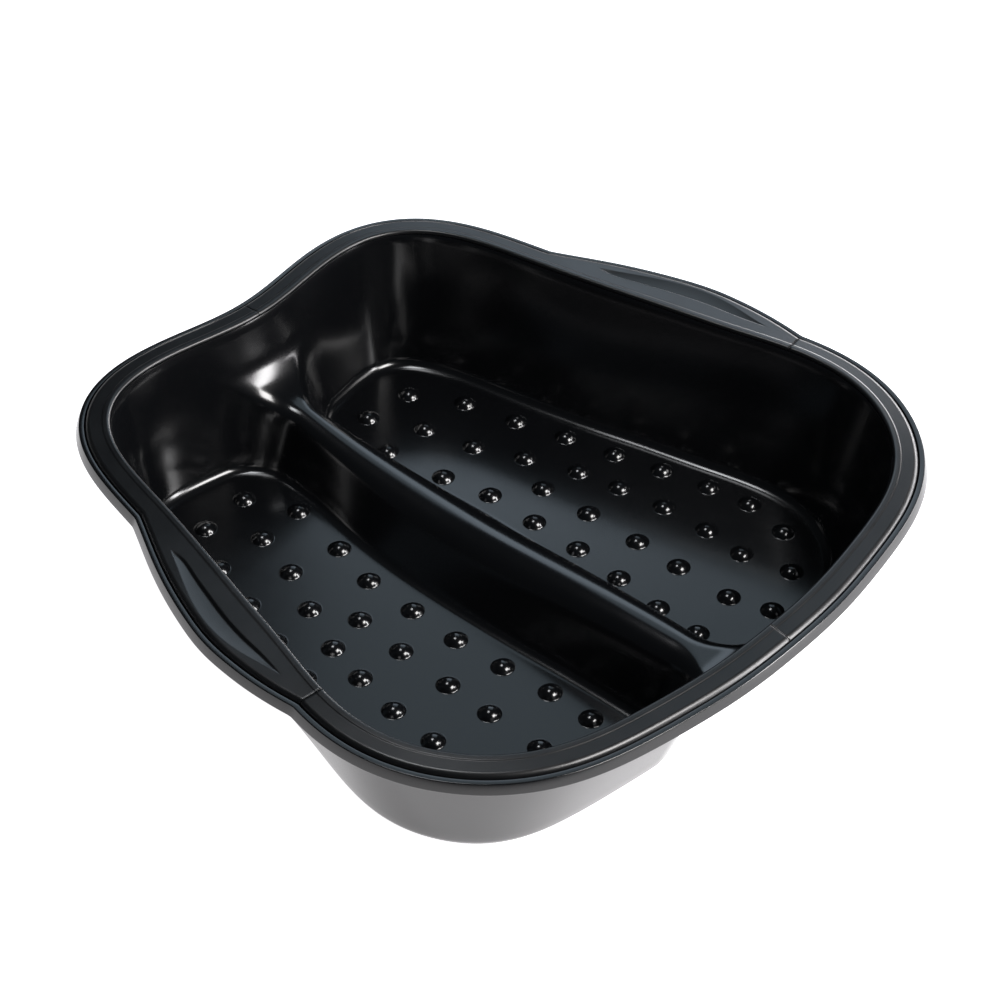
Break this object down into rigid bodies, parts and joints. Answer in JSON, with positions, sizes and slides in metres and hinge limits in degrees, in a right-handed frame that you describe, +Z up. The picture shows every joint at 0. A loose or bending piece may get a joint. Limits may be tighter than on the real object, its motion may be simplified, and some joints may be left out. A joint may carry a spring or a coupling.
{
  "type": "pedicure foot bath",
  "caption": "Low black two-well foot bath with a rounded ridge between the wells, domed massage nubs, stepped rim and a grip flange on each long side.",
  "frame": {"origin": "centre of the bounding box, on the floor plane under the pads", "axes": "+X across to the right well, +Y from the toe end to the heel end, +Z up"},
  "size_m": [0.4252, 0.4379, 0.1002],
  "materials": {
    "gloss_black_plastic": "gloss",
    "pad_rubber": "matte"
  },
  "bodies": {
    "tub": {"outer_tub": "gloss_black_plastic", "floor_pad_heel_inner_right": "pad_rubber", "floor_pad_heel_inner_left": "pad_rubber", "floor_pad_heel_outer_right": "pad_rubber", "floor_pad_heel_outer_left": "pad_rubber", "floor_pad_toe_inner_right": "pad_rubber", "floor_pad_toe_inner_left": "pad_rubber", "floor_pad_toe_outer_right": "pad_rubber", "floor_pad_toe_outer_left": "pad_rubber"},
    "liner": {"liner_basin": "gloss_black_plastic", "rim_cover_handle_right": "gloss_black_plastic", "rim_cover_toe_right": "gloss_black_plastic", "rim_cover_handle_left": "gloss_black_plastic", "rim_cover_toe_left": "gloss_black_plastic"}
  },
  "joints": [
    {"name": "liner_lift", "type": "slide", "parent": "tub", "child": "liner", "axis": [0, 0, 1], "range_m": [0, 0.12]}
  ]
}
